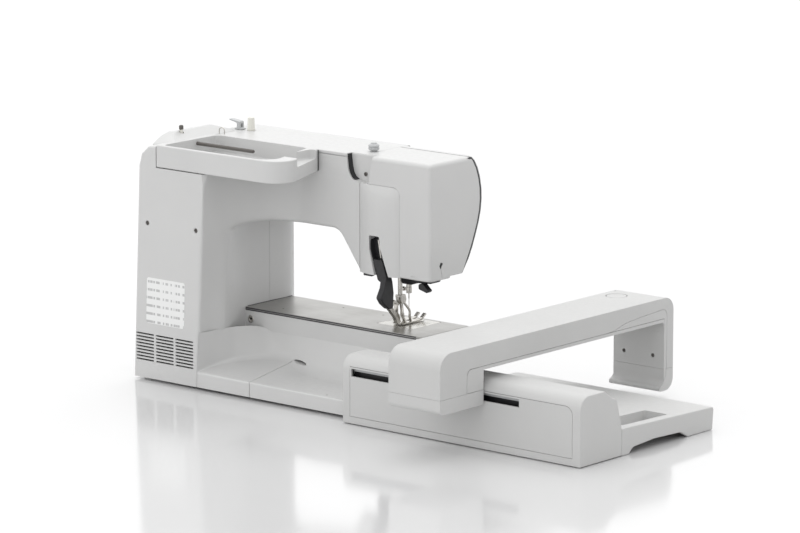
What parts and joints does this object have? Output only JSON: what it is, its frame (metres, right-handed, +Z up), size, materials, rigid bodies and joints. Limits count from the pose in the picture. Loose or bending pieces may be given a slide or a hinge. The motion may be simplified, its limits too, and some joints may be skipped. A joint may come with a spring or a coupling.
{
  "type": "embroidery machine",
  "caption": "Computerised sewing machine with long free arm, rear carry handle and dual feed, docked to an embroidery module whose bridge arm slides sideways.",
  "frame": {"origin": "on the supporting table, under the middle of the bounding box of machine and embroidery module together", "axes": "+Z up; -Y towards the person sewing (machine front), +Y to the machine back; +X to the pillar and handwheel end, -X to the needle head and embroidery module"},
  "size_m": [0.877, 0.5334, 0.376],
  "materials": {
    "casing": "satin white injection-moulded plastic with a fine grain",
    "grey_trim": "light grey moulded plastic",
    "cream_plastic": "cream moulded plastic",
    "black_plastic": "black moulded plastic",
    "dark_rod": "dark grey satin plastic",
    "motor_case": "dark painted steel",
    "bed_metal": "brushed, fine lengthwise grain",
    "needle_plate_metal": "finely ground",
    "steel": "polished and ground steel",
    "cast_metal": "die-cast, matte",
    "bronze": "sintered bearing bronze",
    "rubber": "matte black rubber",
    "screen": "dark glossy touch screen, switched off"
  },
  "bodies": {
    "machine": {"rear_casing": "casing", "front_casing": "casing", "top_cover": "casing", "carry_handle": "casing", "head_cover": "casing", "head_slot_panel": "casing", "face_cover": "casing", "free_arm_casing": "casing", "base_pan": "casing", "plinth_cover": "casing", "module_plate": "casing", "module_cover": "casing", "module_rear_panel": "casing", "thread_guide": "grey_trim", "power_inlet": "black_plastic", "spool_rod": "dark_rod", "motor": "motor_case", "bed_plate": "bed_metal", "stitch_plate": "needle_plate_metal", "thread_eyelet": "steel", "thread_stud": "steel", "bobbin_case": "steel", "module_rail": "steel", "frame_casting": "cast_metal", "head_bracket": "cast_metal", "shaft_bush": "bronze", "foot_strip_head": "rubber", "foot_strip_pillar": "rubber", "drive_belt": "rubber", "display_screen": "screen"},
    "drive_shaft": {"main_shaft": "steel", "handwheel": "grey_trim"},
    "motor_rotor": {"motor_pulley": "steel"},
    "hook_drive": {"hook": "steel", "hook_shaft": "steel"},
    "needle_carrier": {"needle_bar": "steel", "needle": "steel"},
    "take_up": {"take_up_lever": "steel"},
    "presser": {"presser_bar": "steel", "presser_foot": "steel"},
    "upper_feed": {"dual_feed_lever": "black_plastic"},
    "threader": {"threader_lever": "black_plastic"},
    "lower_feed": {"feed_dog": "steel"},
    "winder": {"winder_spindle": "dark_rod"},
    "upright_pin": {"spool_pin": "cream_plastic"},
    "free_arm_door": {"bobbin_door": "casing"},
    "start_key": {"start_button": "grey_trim"},
    "reverse_key": {"reverse_button": "grey_trim"},
    "knob_a": {"upper_knob": "grey_trim"},
    "knob_b": {"lower_knob": "grey_trim"},
    "speed_key": {"speed_slider": "grey_trim"},
    "mains_rocker": {"power_switch": "black_plastic"},
    "embroidery_arm": {"arm_cover": "casing", "arm_underside": "casing", "arm_rear_foot": "casing", "arm_front_foot": "casing", "arm_rod": "steel", "arm_carriage": "cast_metal"},
    "arm_key": {"arm_button": "casing"},
    "hoop_slide": {"hoop_carriage": "grey_trim"}
  },
  "joints": [
    {"name": "handwheel_turn", "type": "hinge", "parent": "machine", "child": "drive_shaft", "pos_m": [0.43, -0.045, 0.3], "axis": [1, 0, 0], "continuous": true},
    {"name": "motor_turn", "type": "hinge", "parent": "machine", "child": "motor_rotor", "pos_m": [0.392, 0.06, 0.09], "axis": [1, 0, 0], "continuous": true},
    {"name": "hook_turn", "type": "hinge", "parent": "machine", "child": "hook_drive", "pos_m": [0.03, -0.036, 0.08], "axis": [1, 0, 0], "continuous": true},
    {"name": "needle_slide", "type": "slide", "parent": "machine", "child": "needle_carrier", "axis": [0, 0, 1], "range_m": [-0.033, 0]},
    {"name": "take_up_swing", "type": "hinge", "parent": "machine", "child": "take_up", "pos_m": [0.038, -0.062, 0.291], "axis": [1, 0, 0], "range_deg": [0, 60]},
    {"name": "presser_lift", "type": "slide", "parent": "machine", "child": "presser", "axis": [0, 0, 1], "range_m": [0, 0.01]},
    {"name": "dual_feed_swing", "type": "hinge", "parent": "machine", "child": "upper_feed", "pos_m": [0.054, 0, 0.236], "axis": [1, 0, 0], "range_deg": [0, 14]},
    {"name": "threader_pull", "type": "slide", "parent": "machine", "child": "threader", "axis": [0, 0, 1], "range_m": [-0.03, 0], "stiffness_N_per_m": 20, "springref_m": 0.004},
    {"name": "feed_dog_drop", "type": "slide", "parent": "machine", "child": "lower_feed", "axis": [0, 0, 1], "range_m": [-0.003, 0]},
    {"name": "winder_turn", "type": "hinge", "parent": "machine", "child": "winder", "pos_m": [0.388, 0.072, 0.35], "axis": [0, 0, 1], "continuous": true},
    {"name": "spool_pin_slide", "type": "slide", "parent": "machine", "child": "upright_pin", "axis": [0, 0, 1], "range_m": [-0.018, 0.014]},
    {"name": "bobbin_door_drop", "type": "hinge", "parent": "machine", "child": "free_arm_door", "pos_m": [-0.0545, -0.0195, 0.0505], "axis": [0, -1, 0], "range_deg": [0, 75]},
    {"name": "start_press", "type": "slide", "parent": "machine", "child": "start_key", "axis": [0, 1, 0], "range_m": [0, 0.0015], "stiffness_N_per_m": 300},
    {"name": "reverse_press", "type": "slide", "parent": "machine", "child": "reverse_key", "axis": [0, 1, 0], "range_m": [0, 0.0015], "stiffness_N_per_m": 300},
    {"name": "upper_knob_turn", "type": "hinge", "parent": "machine", "child": "knob_a", "pos_m": [0.35, -0.114, 0.112], "axis": [0, -1, 0], "continuous": true},
    {"name": "lower_knob_turn", "type": "hinge", "parent": "machine", "child": "knob_b", "pos_m": [0.38, -0.114, 0.112], "axis": [0, -1, 0], "continuous": true},
    {"name": "speed_slide", "type": "slide", "parent": "machine", "child": "speed_key", "axis": [1, 0, 0], "range_m": [-0.016, 0.016]},
    {"name": "power_rock", "type": "hinge", "parent": "machine", "child": "mains_rocker", "pos_m": [0.4005, 0.117, 0.065], "axis": [0, 1, 0], "range_deg": [0, 6]},
    {"name": "arm_travel", "type": "slide", "parent": "machine", "child": "embroidery_arm", "axis": [1, 0, 0], "range_m": [-0.058, 0.14]},
    {"name": "arm_key_press", "type": "slide", "parent": "embroidery_arm", "child": "arm_key", "axis": [0, 0, 1], "range_m": [-0.0015, 0], "stiffness_N_per_m": 300},
    {"name": "hoop_travel", "type": "slide", "parent": "embroidery_arm", "child": "hoop_slide", "axis": [0, 1, 0], "range_m": [-0.14, 0.13]}
  ],
  "couplings": [
    {"joint": "motor_turn", "follows": "handwheel_turn", "ratio": 4},
    {"joint": "hook_turn", "follows": "handwheel_turn", "ratio": 2},
    {"joint": "take_up_swing", "follows": "needle_slide", "rad_per_m": -31.7}
  ]
}
